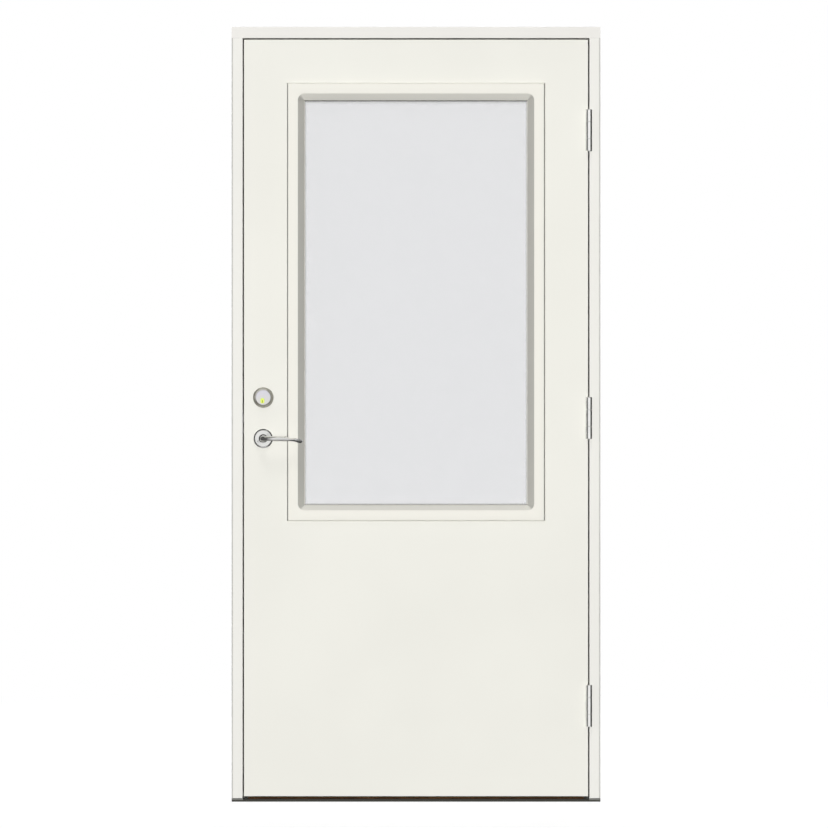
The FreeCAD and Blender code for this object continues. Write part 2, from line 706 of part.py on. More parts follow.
# The lever set. A rose on each face, and two levers on one square spindle that turns in them.

rose = new_body("rose_outside")
turned(rose, [
    ("neck_radius + neck_clearance", 0),
    ("rose_radius", 0),
    ("rose_radius", "-rose_thickness + rose_rim"),
    ("rose_radius - rose_rim", "-rose_thickness"),
    ("neck_radius + neck_clearance", "-rose_thickness"),
])
place(rose, LEVER_X, OUTSIDE, "lever_level")
mirrored(rose, "rose_inside", LEAF_MIDDLE)

lever = new_body("lever_outside")
turned(lever, [
    (0, "neck_inset"),
    ("neck_radius", "neck_inset"),
    ("neck_radius", "knob_half_depth - lever_projection"),
    ("knob_radius", "knob_half_depth - lever_projection - (knob_radius - neck_radius)"),
    ("knob_radius", "knob_chamfer - knob_half_depth - lever_projection"),
    ("knob_radius - knob_chamfer", "-knob_half_depth - lever_projection"),
    (0, "-knob_half_depth - lever_projection"),
])

# Each of the lever's sections has a size by name, a length from the section before, and a
# drop and a return towards the door from the line of the root.
LEVER_SECTIONS = [
    ("root", 0, 0, 0),
    ("throat", "lever_throat_length", 0, 0),
    ("grip", "lever_swell_length", 0, 0),
    ("grip", "lever_grip_length", 0, 0),
    ("waist", "lever_shoulder_length", "lever_waist_drop", 0),
    ("waist", "lever_waist_length", "lever_waist_drop", 0),
    ("heel", "lever_bend_length", "lever_heel_drop", "lever_heel_return"),
    ("tip", "lever_tip_length", "lever_heel_drop", "lever_tip_return"),
]
SECTION_SIDES = 12


def lever_section(name, drop, back):
    """An oval of many sides, as corners in Y and Z."""
    corners = []
    for step in range(SECTION_SIDES):
        angle = 360 * step / SECTION_SIDES
        corners.append((f"{back} - lever_projection + lever_{name}_depth / 2 * cos({angle})",
                        f"lever_{name}_height / 2 * sin({angle}) - {drop}"))
    return corners


sections = []
along = "0"
for section_name, length, drop, back in LEVER_SECTIONS:
    along = f"{along} + {length}"
    sections.append(new_sketch(lever, "YZ", along, [lever_section(section_name, drop, back)]))
doc.recompute()
grip = lever.newObject("PartDesign::AdditiveLoft", "lever_grip")
grip.Profile = sections[0]
grip.Sections = sections[1:]
grip.Ruled = True
doc.recompute()
place(lever, LEVER_X, OUTSIDE, "lever_level")
mirrored(lever, "lever_inside", LEAF_MIDDLE)

HALF_SPINDLE = "(spindle_side / 2)"
spindle = slab("lever_spindle", "XZ", f"{OUTSIDE} + neck_inset", f"{LEAF_BACK} - neck_inset",
               [rectangle(f"-{HALF_SPINDLE}", HALF_SPINDLE, f"-{HALF_SPINDLE}", HALF_SPINDLE)])
place(spindle, LEVER_X, 0, "lever_level")


# The cylinder. A conical ring round the cylinder's face, which holds the key plug. Inside,
# a like ring carries a thumb turn.

ring = new_body("cylinder_ring")
turned(ring, [
    ("cylinder_radius + cylinder_clearance", 0),
    ("ring_radius", 0),
    ("ring_front_radius", "-ring_thickness"),
    ("cylinder_radius + cylinder_clearance", "-ring_thickness"),
])
place(ring, LEVER_X, OUTSIDE, CYLINDER_LEVEL)
mirrored(ring, "thumb_turn_ring", LEAF_MIDDLE)

CASE_FRONT = f"({LEAF_MIDDLE} - case_thickness / 2)"
CYLINDER_FRONT = "(cylinder_recess - ring_thickness)"
cylinder = slab("lock_cylinder", "XZ", CYLINDER_FRONT, f"{CASE_FRONT} - {OUTSIDE}",
                [(0, 0, "cylinder_radius")])
place(cylinder, LEVER_X, OUTSIDE, CYLINDER_LEVEL)
mirrored(cylinder, "thumb_turn_base", LEAF_MIDDLE)

key_plug = slab("key_plug", "XZ", f"{CYLINDER_FRONT} - plug_rise", CYLINDER_FRONT,
                [("-plug_offset - plug_width / 2", "plug_width / 2 - plug_offset",
                  "-plug_drop - plug_height / 2", "plug_height / 2 - plug_drop", "plug_rounding")])
place(key_plug, LEVER_X, OUTSIDE, CYLINDER_LEVEL)

TURN_BASE = "(ring_thickness - cylinder_recess)"
thumb_turn = slab("thumb_turn", "XZ", TURN_BASE, f"{TURN_BASE} + turn_depth",
                  [("-turn_width / 2", "turn_width / 2", "-turn_height / 2", "turn_height / 2", "turn_rounding")])
place(thumb_turn, LEVER_X, LEAF_BACK, CYLINDER_LEVEL)


# Check every object and write one file for each sub-part.

doc.recompute()
for item in doc.Objects:
    if {"Invalid", "Error"} & set(item.State):
        raise RuntimeError(f"{item.Label} failed: {item.State}")
os.makedirs("parts", exist_ok=True)
for piece in PIECES:
    if piece.Shape.isNull() or not piece.Shape.isValid():
        raise RuntimeError(piece.Label + " has no valid shape")
    piece.Shape.exportStep(f"parts/{piece.Label}.step")
print(len(PIECES), "sub-parts written")
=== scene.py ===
import math

import bmesh
import bpy
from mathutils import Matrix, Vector


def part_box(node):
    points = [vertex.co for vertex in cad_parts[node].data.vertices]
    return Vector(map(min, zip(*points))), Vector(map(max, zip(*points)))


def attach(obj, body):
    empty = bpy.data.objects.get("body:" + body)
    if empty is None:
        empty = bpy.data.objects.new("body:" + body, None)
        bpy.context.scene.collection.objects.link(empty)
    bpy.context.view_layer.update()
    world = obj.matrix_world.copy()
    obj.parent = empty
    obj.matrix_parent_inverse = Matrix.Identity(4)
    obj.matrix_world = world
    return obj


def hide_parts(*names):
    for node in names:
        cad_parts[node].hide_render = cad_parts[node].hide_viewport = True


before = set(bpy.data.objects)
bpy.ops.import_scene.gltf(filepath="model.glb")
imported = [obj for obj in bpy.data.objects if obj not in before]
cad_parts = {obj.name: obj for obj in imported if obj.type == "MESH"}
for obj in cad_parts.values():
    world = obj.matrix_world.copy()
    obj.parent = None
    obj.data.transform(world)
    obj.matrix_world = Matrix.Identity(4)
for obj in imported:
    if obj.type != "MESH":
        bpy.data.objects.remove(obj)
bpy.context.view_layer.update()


# The studio. A plain white floor in an open white surround and soft lamps in line with the door. Polished
# metal mirrors a room round it: a bright window before each face of the door, dark walls and a pale floor.

VIEW_CENTRE = (-0.0054, 1.0408)
VIEW_DISTANCE = 12.0
VIEW_WIDTH = 2.223
SENSOR = 36.0


class Shade:
    """A socket of a material's nodes. Arithmetic on it adds Math nodes, and node() adds any other."""

    def __init__(self, tree, socket=None):
        self.tree = tree
        self.socket = socket

    def node(self, kind, settings=None, values=None, out=0):
        """Add a node: first its settings, then what goes into its sockets."""
        made = self.tree.nodes.new("ShaderNode" + kind)
        for name, value in (settings or {}).items():
            setattr(made, name, value)
        for name, value in (values or {}).items():
            if isinstance(value, Shade):
                self.tree.links.new(value.socket, made.inputs[name])
            else:
                made.inputs[name].default_value = value
        return Shade(self.tree, made.outputs[out] if made.outputs else None)

    def maths(self, operation, first, second=0.0):
        return self.node("Math", {"operation": operation}, {0: first, 1: second})

    def __add__(self, other):
        return self.maths("ADD", self, other)

    def __sub__(self, other):
        return self.maths("SUBTRACT", self, other)

    def __rsub__(self, other):
        return self.maths("SUBTRACT", other, self)

    def __mul__(self, other):
        return self.maths("MULTIPLY", self, other)

    __radd__ = __add__
    __rmul__ = __mul__

    def __abs__(self):
        return self.maths("ABSOLUTE", self)

    def rising(self, low, high):
        """0 below low and 1 above high, with a smooth turn between."""
        return self.node("MapRange", {"interpolation_type": "SMOOTHSTEP"}, {0: self, 1: low, 2: high})

    def blend(self, first, second):
        """One colour where this value is 0 and another where it is 1."""
        return self.node("Mix", {"data_type": "RGBA"}, {0: self, 6: first, 7: second}, out=2)


def fresh(owner):
    """Empty the nodes of a material or a world, and return the place to write new ones."""
    owner.use_nodes = True
    owner.node_tree.nodes.clear()
    return Shade(owner.node_tree)


def measured(nodes, axis, kind="Object"):
    """A point's x, y or z. Kind Normal gives how squarely its face looks that way instead, and Generated,
    in the world, how far a ray goes that way."""
    return nodes.node("SeparateXYZ", None, {0: nodes.node("TexCoord", out=kind)}, out=axis)


def seen_directly(nodes):
    """1 on rays from the camera or through glass, and 0 on rays that carry light."""
    return nodes.maths("MINIMUM", nodes.node("LightPath", out="Is Camera Ray")
                       + nodes.node("LightPath", out="Is Transmission Ray"), 1.0)


WORLD_FILL = 0.04
WINDOW_LEFT = (-41, -17)
WINDOW_RIGHT = (50, 68)
WINDOW_FOOT = (-19, -1)
WINDOW_TOP = (60, 76)
WALL_TONE = 0.02
LEFT_TONE = 0.05
LEFT_REACH = 0.7
FLOOR_SHINE = 0.4
SHINE_DEPTH = (52, 74)
world = bpy.data.worlds.new("studio")
bpy.context.scene.world = world
nodes = fresh(world)
toward = [measured(nodes, axis, "Generated") for axis in range(3)]
azimuth = nodes.maths("ARCTAN2", toward[0], abs(toward[1])) * (180 / math.pi)
elevation = nodes.maths("ARCSINE", toward[2]) * (180 / math.pi)
window = (azimuth.rising(*WINDOW_LEFT) * (1 - azimuth.rising(*WINDOW_RIGHT))
          * elevation.rising(*WINDOW_FOOT) * (1 - elevation.rising(*WINDOW_TOP)))
left = (0.0 - toward[0]).rising(0.0, LEFT_REACH) * LEFT_TONE
shine = (0.0 - elevation).rising(*SHINE_DEPTH) * FLOOR_SHINE
room = nodes.maths("MINIMUM", window + left + shine + WALL_TONE, 1.0)
backdrop = nodes.node("Background", None, {
    "Color": (1.0, 1.0, 1.0, 1.0),
    "Strength": nodes.maths("MINIMUM", WORLD_FILL + seen_directly(nodes)
                            + nodes.node("LightPath", out="Is Glossy Ray") * room, 1.0)})
nodes.node("OutputWorld", None, {"Surface": backdrop})

FLOOR_HALF = 30.0
FLOOR_LEVEL = -0.0004
FLOOR_GLOW = 0.84
FLOOR_TONE = 0.32
SHADOW_NEAR = 1.2
SHADOW_FAR = 4.5
floor_mesh = bpy.data.meshes.new("studio_floor")
corners = [(x * FLOOR_HALF, y * FLOOR_HALF, FLOOR_LEVEL) for x, y in ((-1, -1), (1, -1), (1, 1), (-1, 1))]
floor_mesh.from_pydata(corners, [], [(0, 1, 2, 3)])
floor = bpy.data.objects.new("studio_floor", floor_mesh)
bpy.context.scene.collection.objects.link(floor)
floor_paint = bpy.data.materials.new("studio_floor")
nodes = fresh(floor_paint)
reach = nodes.node("VectorMath", {"operation": "LENGTH"},
                   {0: nodes.node("TexCoord", out="Object")}, out="Value").rising(SHADOW_NEAR, SHADOW_FAR)
matt = nodes.node("BsdfDiffuse", None, {"Color": reach.blend((FLOOR_TONE,) * 3 + (1.0,), (0, 0, 0, 1))})
glow = nodes.node("Emission", None, {
    "Color": (1.0, 1.0, 1.0, 1.0),
    "Strength": seen_directly(nodes) * (FLOOR_GLOW + (1 - FLOOR_GLOW) * reach)})
nodes.node("OutputMaterial", None, {"Surface": nodes.node("AddShader", None, {0: matt, 1: glow})})
floor_mesh.materials.append(floor_paint)
floor.visible_diffuse = floor.visible_glossy = floor.visible_shadow = False


def aim(thing, place, target):
    """Put a lamp or the camera at a place, looking at a target."""
    thing.location = place
    look = Vector(target) - Vector(place)
    upright = "Z" if abs(look.normalized().z) < 0.99 else "Y"
    thing.rotation_euler = look.to_track_quat("-Z", upright).to_euler()


DOOR_MIDDLE = Vector((0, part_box("leaf_outer_skin")[0].y, VIEW_CENTRE[1]))


def lamp(name, azimuth, elevation, distance, size, share):
    """A soft lamp that gives this share of a plain surface's brightness where it faces the lamp."""
    light = bpy.data.lights.new(name, "AREA")
    light.shape = "RECTANGLE"
    light.size, light.size_y = size
    light.energy = share * (math.pi * distance) ** 2
    lit = bpy.data.objects.new(name, light)
    bpy.context.scene.collection.objects.link(lit)
    turn, rise = math.radians(azimuth), math.radians(elevation)
    away = Vector((math.sin(turn) * math.cos(rise), -math.cos(turn) * math.cos(rise), math.sin(rise)))
    aim(lit, DOOR_MIDDLE + distance * away, DOOR_MIDDLE)
    lit.visible_camera = False
    lit.visible_glossy = False
    lit.visible_transmission = False


lamp("lamp_front", 0, 0, 14.0, (1.4, 1.4), 0.82)
lamp("lamp_above", 0, 58, 14.0, (1.5, 4.0), 0.15)
lamp("lamp_below", 0, -58, 14.0, (1.5, 4.0), 0.06)
lamp("lamp_left", -50, 5, 10.0, (3.0, 5.0), 0.06)
lamp("lamp_side_left", -107, 5, 8.0, (2.0, 4.0), 0.40)
lamp("lamp_side_right", 107, 5, 8.0, (2.0, 4.0), 0.40)
lamp("lamp_behind", 180, 15, 7.0, (4.0, 4.0), 0.72)

camera_data = bpy.data.cameras.new("camera")
camera_data.sensor_width = SENSOR
camera_data.lens = SENSOR * VIEW_DISTANCE / VIEW_WIDTH
camera_data.clip_end = 100.0
camera = bpy.data.objects.new("camera", camera_data)
bpy.context.scene.collection.objects.link(camera)
view_point = Vector((VIEW_CENTRE[0], DOOR_MIDDLE.y, VIEW_CENTRE[1]))
aim(camera, view_point - Vector((0, VIEW_DISTANCE, 0)), view_point)
bpy.context.scene.camera = camera
bpy.context.scene.view_settings.view_transform = "Standard"


# The frame. Two jambs and a head of pine, butt-jointed, sanded and sprayed with a satin cover paint
# through which the grain is only just felt, standing on a grey plastic pad under each jamb.

FRAME_COLOUR = (240, 239, 233)
HEAD_COLOUR = (238, 236, 231)
PAD_COLOUR = (120, 120, 116)
PAINT_ROUGHNESS = 0.42
# The arris and rebate shares and lines below set painted shade: a grey line along each jamb's outer arris and
# dark lines along the gap round the leaf.
ARRIS_SHADE_SHARE = 0.68
ARRIS_WIDTH = 0.0036
REBATE_SHADE_SHARE = 0.22
JAMB_SHADE_LINE = (0.001, 0.0008)
HEAD_SHADE_LINE = (0.001, 0.0012)
LINE_BLUR = 0.0003
FACING_OUT = (0.2, 0.5)
EDGE_GAP = 0.003


def tone(colour):
    """A colour as it is seen, 0 to 255, as the light it reflects."""
    def reflected(level):
        share = level / 255
        return share / 12.92 if share <= 0.04045 else ((share + 0.055) / 1.055) ** 2.4
    return tuple(reflected(level) for level in colour) + (1.0,)


def shaded(colour, share):
    """The same colour at a share of its light."""
    return tuple(level * share for level in tone(colour)[:3]) + (1.0,)


def noise(nodes, scale, stretch=(1, 1, 1), detail=3.0, rough=0.5):
    """Soft random values over the surface, stretched along the axes, round 0.5."""
    spread = nodes.node("Mapping", None, {"Vector": nodes.node("TexCoord", out="Object"), "Scale": stretch})
    return nodes.node("TexNoise", None, {
        "Vector": spread, "Scale": scale, "Detail": detail, "Roughness": rough})


def bumped(nodes, height, distance, strength=1.0):
    """A surface direction that follows a height."""
    return nodes.node("Bump", None, {"Height": height, "Distance": distance, "Strength": strength})


def surface(material, nodes, values):
    """Finish a material with one plain shader."""
    shader = nodes.node("BsdfPrincipled", None, values)
    nodes.node("OutputMaterial", None, {"Surface": shader})
    return material


def paint(name, colour, grain, grain_depth=0.00012, thin=()):
    """Satin paint: faint cloudiness, a fine sprayed skin and wood grain along one axis under it.

    thin lists thin lines of painted shade, grey on faces that look out or in, along arrises and gaps. Each is
    an axis, how far out from the middle the line starts and ends along it, and the share of light left."""
    material = bpy.data.materials.new(name)
    nodes = fresh(material)
    cloud = noise(nodes, 3.0, detail=2.0)
    skin = noise(nodes, 650.0, detail=1.0)
    fibres = noise(nodes, 90.0, grain, detail=4.0)
    colours = cloud.rising(0.3, 0.7).blend(shaded(colour, 0.985), shaded(colour, 1.01))
    facing = abs(measured(nodes, 1, "Normal")).rising(*FACING_OUT)
    # Painted shade: each thin line darkens the paint to its share of light.
    for axis, low, high, share in thin:
        place = abs(measured(nodes, axis))
        started = place.rising(low - LINE_BLUR, low + LINE_BLUR)
        ended = place.rising(high - LINE_BLUR, high + LINE_BLUR)
        colours = (started * (1 - ended) * facing).blend(colours, shaded(colour, share))
    return surface(material, nodes, {
        "Base Color": colours,
        "Roughness": (skin - 0.5) * 0.1 + PAINT_ROUGHNESS,
        "Specular IOR Level": 0.35,
        "Normal": bumped(nodes, fibres + skin * 0.25, grain_depth),
    })


CRISP_ANGLE = 28


def coat(material, *names):
    """Give solids a material, with their arrises kept crisp."""
    for name in names:
        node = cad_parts[name]
        mesh = node.data
        mesh.materials.clear()
        mesh.materials.append(material)
        mesh.polygons.foreach_set("use_smooth", [True] * len(mesh.polygons))
        mesh.set_sharp_from_angle(angle=math.radians(CRISP_ANGLE))
        mesh.update()


ALONG_X = (0.04, 1, 1)
ALONG_Z = (1, 1, 0.04)
frame_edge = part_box("jamb_hinge_side")[1].x
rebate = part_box("leaf_outer_skin")[1] + Vector((EDGE_GAP, 0, EDGE_GAP))
# Painted shade on the jambs and the head: a grey line by each jamb's outer arris, and dark lines on their
# faces along the gap round the leaf.
jamb_paint = paint("jamb_paint", FRAME_COLOUR, ALONG_Z, thin=(
    (0, frame_edge - ARRIS_WIDTH, frame_edge + 1, ARRIS_SHADE_SHARE),
    (0, rebate.x - JAMB_SHADE_LINE[0], rebate.x + JAMB_SHADE_LINE[1], REBATE_SHADE_SHARE)))
head_paint = paint("head_paint", HEAD_COLOUR, ALONG_X, thin=(
    (2, rebate.z - HEAD_SHADE_LINE[0], rebate.z + HEAD_SHADE_LINE[1], REBATE_SHADE_SHARE),))
coat(jamb_paint, "jamb_lock_side", "jamb_hinge_side")
coat(head_paint, "head")

pad_plastic = bpy.data.materials.new("pad_plastic")
nodes = fresh(pad_plastic)
grit = noise(nodes, 900.0, detail=2.0)
surface(pad_plastic, nodes, {
    "Base Color": grit.blend(shaded(PAD_COLOUR, 0.9), shaded(PAD_COLOUR, 1.1)),
    "Roughness": 0.6,
    "Normal": bumped(nodes, grit, 0.0001),
})
coat(pad_plastic, "foot_pad_lock_side", "foot_pad_hinge_side")


# The sill. A dark anodised aluminium plate with a low nose and fine drawn lines along it, and behind
# it a hardwood board, planed, rounded at the front and oiled.

SILL_COLOUR = (64, 63, 58)
OAK_DARK = (112, 76, 46)
OAK_LIGHT = (164, 120, 78)

sill_metal = bpy.data.materials.new("sill_metal")
nodes = fresh(sill_metal)
drawn = noise(nodes, 1400.0, (0.01, 1, 1), detail=2.0)
surface(sill_metal, nodes, {
    "Base Color": drawn.blend(shaded(SILL_COLOUR, 0.85), shaded(SILL_COLOUR, 1.2)),
    "Metallic": 0.35,
    "Roughness": 0.4 + drawn * 0.15,
    "Normal": bumped(nodes, drawn, 0.00006),
})
coat(sill_metal, "sill_plate")

oak = bpy.data.materials.new("oiled_hardwood")
nodes = fresh(oak)
rings = noise(nodes, 55.0, (0.05, 1.0, 1.6), detail=5.0, rough=0.6)
pores = noise(nodes, 520.0, (0.03, 1, 1), detail=2.0)
surface(oak, nodes, {
    "Base Color": (rings * 0.8 + pores * 0.25).rising(0.35, 0.7).blend(tone(OAK_DARK), tone(OAK_LIGHT)),
    "Roughness": 0.5 + (rings - 0.5) * 0.2,
    "Normal": bumped(nodes, pores + rings * 0.5, 0.0002),
})
coat(oak, "sill_board")


# The seals. Black rubber strips clipped to the stops of the frame, each a hollow bulb with a lip that
# the leaf presses on, and a finned strip in the leaf's lower edge that drags over the sill.

RUBBER_COLOUR = (17, 17, 16)
rubber = bpy.data.materials.new("seal_rubber")
nodes = fresh(rubber)
dust = noise(nodes, 240.0, detail=3.0)
surface(rubber, nodes, {
    "Base Color": dust.blend(shaded(RUBBER_COLOUR, 0.8), shaded(RUBBER_COLOUR, 1.25)),
    "Roughness": 0.62 + (dust - 0.5) * 0.2,
    "Specular IOR Level": 0.25,
    "Normal": bumped(nodes, dust, 0.00008),
})


SOFT_ANGLE = 35


def skinned(name, rings, closed_ends=(True, True), smooth_angle=SOFT_ANGLE):
    """A mesh through rings that have as many points each, in metres, with its ends closed or open."""
    points = [tuple(point) for ring in rings for point in ring]
    count = len(rings[0])
    faces = []
    for level in range(len(rings) - 1):
        for side in range(count):
            after = (side + 1) % count
            low, high = level * count, (level + 1) * count
            faces.append((low + side, low + after, high + after, high + side))
    if closed_ends[0]:
        faces.append(tuple(reversed(range(count))))
    if closed_ends[1]:
        faces.append(tuple(range(len(points) - count, len(points))))
    mesh = bpy.data.meshes.new(name)
    mesh.from_pydata(points, [], faces)
    turned_out = bmesh.new()
    turned_out.from_mesh(mesh)
    bmesh.ops.remove_doubles(turned_out, verts=turned_out.verts, dist=1e-6)
    bmesh.ops.recalc_face_normals(turned_out, faces=turned_out.faces)
    turned_out.to_mesh(mesh)
    turned_out.free()
    mesh.polygons.foreach_set("use_smooth", [True] * len(mesh.polygons))
    mesh.set_sharp_from_angle(angle=math.radians(smooth_angle))
    mesh.update()
    return mesh


def joined(name, meshes):
    """One mesh from several."""
    whole = bpy.data.meshes.new(name)
    points, faces = [], []
    for mesh in meshes:
        first = len(points)
        points += [tuple(vertex.co) for vertex in mesh.vertices]
        faces += [tuple(first + corner for corner in face.vertices) for face in mesh.polygons]
    whole.from_pydata(points, [], faces)
    whole.polygons.foreach_set("use_smooth", [True] * len(faces))
    whole.set_sharp_from_angle(angle=math.radians(SOFT_ANGLE))
    whole.update()
    return whole


def piece(mesh, body, material, replaced=()):
    """Put a mesh in the scene as a piece of a body."""
    mesh.materials.append(material)
    made = bpy.data.objects.new(mesh.name, mesh)
    bpy.context.scene.collection.objects.link(made)
    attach(made, body)
    if replaced:
        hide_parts(*replaced)
    return made


SEAL_BULB = 0.62
SEAL_BASE = 0.25
SEAL_LIP = ((0.66, 0.22), (0.8, 0.62), (0.95, 0.8), (1.0, 0.72), (0.9, 0.5))
SEAL_STEPS = 10
OUTWARD = Vector((0, -1, 0))


def seal_outline(width, height):
    """A strip's outline in its box, as (across, out): a flat back, a round bulb and a thin lip."""
    bulb = width * SEAL_BULB / 2
    outline = [(width, 0), (0, 0)]
    for step in range(SEAL_STEPS + 1):
        angle = math.pi * (1 - step / SEAL_STEPS)
        outline.append((bulb + bulb * math.cos(angle),
                        height * (SEAL_BASE + (1 - SEAL_BASE) * math.sin(angle))))
    return outline + [(width * across, height * out) for across, out in SEAL_LIP]


def seal_strip(name, corner, across, along, width, height, length):
    """A strip of the outline swept from a corner along one axis."""
    rings = []
    for share in (0, 1):
        start = Vector(corner) + Vector(along) * length * share
        rings.append([start + Vector(across) * side + OUTWARD * rise
                      for side, rise in seal_outline(width, height)])
    return skinned(name, rings, smooth_angle=50)


for name, across, along in (("seal_hinge_side", (-1, 0, 0), (0, 0, 1)),
                            ("seal_lock_side", (1, 0, 0), (0, 0, 1)),
                            ("seal_head", (0, 0, -1), (1, 0, 0)),
                            ("seal_sill", (0, 0, -1), (1, 0, 0))):
    low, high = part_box(name)
    size = high - low
    upright = along[2] == 1
    corner = (high.x if across[0] < 0 else low.x, high.y, low.z if upright else high.z)
    strip = seal_strip(name + "_strip", corner, across, along, size.x if upright else size.z, size.y,
                       size.z if upright else size.x)
    piece(strip, "frame", rubber, (name,))

FIN_COUNT = 4
FIN_FOOT = (0.25, 0.75)
FIN_TIP = (0.4, 0.6)
BACK_THICKNESS = 0.0015
low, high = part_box("leaf_drip_seal")
root = high.z - BACK_THICKNESS
pitch = (high.y - low.y) / FIN_COUNT
fins = []
for share in (0, 1):
    x = low.x + (high.x - low.x) * share
    outline = [(high.y, high.z), (low.y, high.z), (low.y, root)]
    for fin in range(FIN_COUNT):
        start = low.y + fin * pitch
        outline += [(start + pitch * FIN_FOOT[0], root), (start + pitch * FIN_TIP[0], low.z),
                    (start + pitch * FIN_TIP[1], low.z), (start + pitch * FIN_FOOT[1], root)]
    outline.append((high.y, root))
    fins.append([(x, y, z) for y, z in outline])
piece(skinned("drip_seal_fins", fins), "leaf", rubber, ("leaf_drip_seal",))


# The leaf. Hard fibreboard skins over pine stiles and rails and a block of foam, sprayed with the same
# satin paint on both faces. Its edges are painted grey, as painted shade in the gaps round it, and each skin
# carries a dark line of painted shade along its foot.

LEAF_COLOUR = (240, 239, 231)
LEAF_EDGE_SHADE_COLOUR = (206, 205, 197)
FOAM_COLOUR = (214, 204, 176)
FOOT_SHADE_LINE = 0.0008
SKIN_GRAIN_DEPTH = 0.00005

leaf_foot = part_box("leaf_outer_skin")[0].z
# Painted shade: a dark line along the foot of each skin, over the gap above the sill.
leaf_paint = paint("leaf_paint", LEAF_COLOUR, (1, 1, 1), SKIN_GRAIN_DEPTH, thin=(
    (2, leaf_foot - 0.1, leaf_foot + FOOT_SHADE_LINE, REBATE_SHADE_SHARE),))
coat(leaf_paint, "leaf_outer_skin", "leaf_inner_skin")
# Painted shade: the stiles' and rails' edges are grey, to darken the gaps round the leaf.
coat(paint("edge_shade_paint", LEAF_EDGE_SHADE_COLOUR, ALONG_Z), "leaf_lock_stile", "leaf_hinge_stile")
coat(paint("rail_shade_paint", LEAF_EDGE_SHADE_COLOUR, ALONG_X), "leaf_top_rail", "leaf_middle_rail", "leaf_bottom_rail")
foam = bpy.data.materials.new("foam_block")
nodes = fresh(foam)
cells = nodes.node("TexVoronoi", None, {"Vector": nodes.node("TexCoord", out="Object"), "Scale": 400.0})
surface(foam, nodes, {
    "Base Color": cells.blend(shaded(FOAM_COLOUR, 1.05), shaded(FOAM_COLOUR, 0.85)),
    "Roughness": 0.85,
    "Normal": bumped(nodes, cells, 0.0004),
})
coat(foam, "leaf_core")


# The glazing. A painted surround on each face, with a routed bevel that runs down to a sealed unit of
# two clear panes on an aluminium spacer, each pane bedded on a thin grey strip.

SURROUND_COLOUR = (242, 240, 231)
# Shares of painted light and shade on the surround's slopes, by which way they face.
SLOPE_SHADE_SHARE = 0.96
RISING_LIGHT_SHARE = 1.07
UPRIGHT_SHADE_SHARE = 0.61
OUTER_SHADE_SHARE = 0.34
GLASS_COLOUR = (208, 209, 212)
GLASS_COVER = 0.172
# The colour and cover of the painted shade along the panes' edges.
PANE_EDGE_SHADE_COLOUR = (168, 168, 166)
PANE_EDGE_SHADE_COVER = 0.25
STRIP_COLOUR = (218, 216, 210)
# Painted shade on the strip: darker at the pane's top and a little darker at its foot.
STRIP_TOP_SHADE = (120, 118, 112)
STRIP_FOOT_SHADE = (168, 166, 160)
SPACER_COLOUR = (176, 178, 180)
# How far the painted shade along the panes' edges reaches in, and how much further at the top.
PANE_SHADE_WIDTH = 0.007
PANE_SHADE_AT_TOP = 0.6
PANE_HALF = 0.300
PANE_LOW = 0.7962
PANE_HIGH = 1.884
FOOT_SAVING = 0.0031
BEVEL_WIDTH = 0.0168
OUTER_SLANT = (0.0425, 0.0440)
SIDE_ON = (0.3, 0.7)
CORNER_STEPS = 7
SURROUND_PROFILE = (
    (0.0, -0.0155, 0.0005), (0.0003, -0.0150, 0.0008), (0.0163, 0.0071, 0.0168), (0.0168, 0.0077, 0.0173),
    (0.0176, 0.0080, 0.0181), (0.0422, 0.0080, 0.0010), (0.0430, 0.0078, 0.0016), (0.0435, 0.0071, 0.0018),
    (0.0464, 0.0004, 0.0022), (0.0466, 0.0, 0.0022), (0.0215, 0.0, 0.0210), (0.0215, -0.0155, 0.0210),
    (0.0, -0.0155, 0.0005))


def round_pane(margin, level, radius):
    """A loop with rounded corners, this far outside the visible pane, and a little less below it."""
    half, high = PANE_HALF + margin - radius, PANE_HIGH + margin - radius
    low = PANE_LOW - margin + FOOT_SAVING * min(margin / BEVEL_WIDTH, 1) + radius
    loop = []
    for quarter, (x, z) in enumerate(((half, high), (-half, high), (-half, low), (half, low))):
        for step in range(CORNER_STEPS + 1):
            turn = math.pi / 2 * (quarter + step / CORNER_STEPS)
            loop.append(Vector((x + radius * math.cos(turn), level, z + radius * math.sin(turn))))
    return loop


# Painted light and shade: the surround's sideways bevels are darker, its outer side slants darker still, its
# upward slopes lighter and its downward ones a little darker than its flat.
surround_paint = bpy.data.materials.new("surround_paint")
nodes = fresh(surround_paint)
sideways = abs(measured(nodes, 0, "Normal"))
rising = measured(nodes, 2, "Normal")
slope = nodes.maths("MAXIMUM", sideways, abs(rising)).rising(*SIDE_ON)
upright = sideways.rising(*SIDE_ON)
upward = rising.rising(*SIDE_ON)
outer = abs(measured(nodes, 0)).rising(PANE_HALF + OUTER_SLANT[0], PANE_HALF + OUTER_SLANT[1])
level_slope_shading = upward.blend(shaded(SURROUND_COLOUR, SLOPE_SHADE_SHARE), shaded(SURROUND_COLOUR, RISING_LIGHT_SHARE))
upright_slope_shading = outer.blend(shaded(SURROUND_COLOUR, UPRIGHT_SHADE_SHARE), shaded(SURROUND_COLOUR, OUTER_SHADE_SHARE))
skin = noise(nodes, 650.0, detail=1.0)
surface(surround_paint, nodes, {
    "Base Color": upright.blend(slope.blend(tone(SURROUND_COLOUR), level_slope_shading), upright_slope_shading),
    "Roughness": (skin - 0.5) * 0.1 + 0.4,
    "Specular IOR Level": 0.35,
    "Normal": bumped(nodes, skin, 0.00003),
})
outer_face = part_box("leaf_outer_skin")[0].y
inner_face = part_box("leaf_inner_skin")[1].y
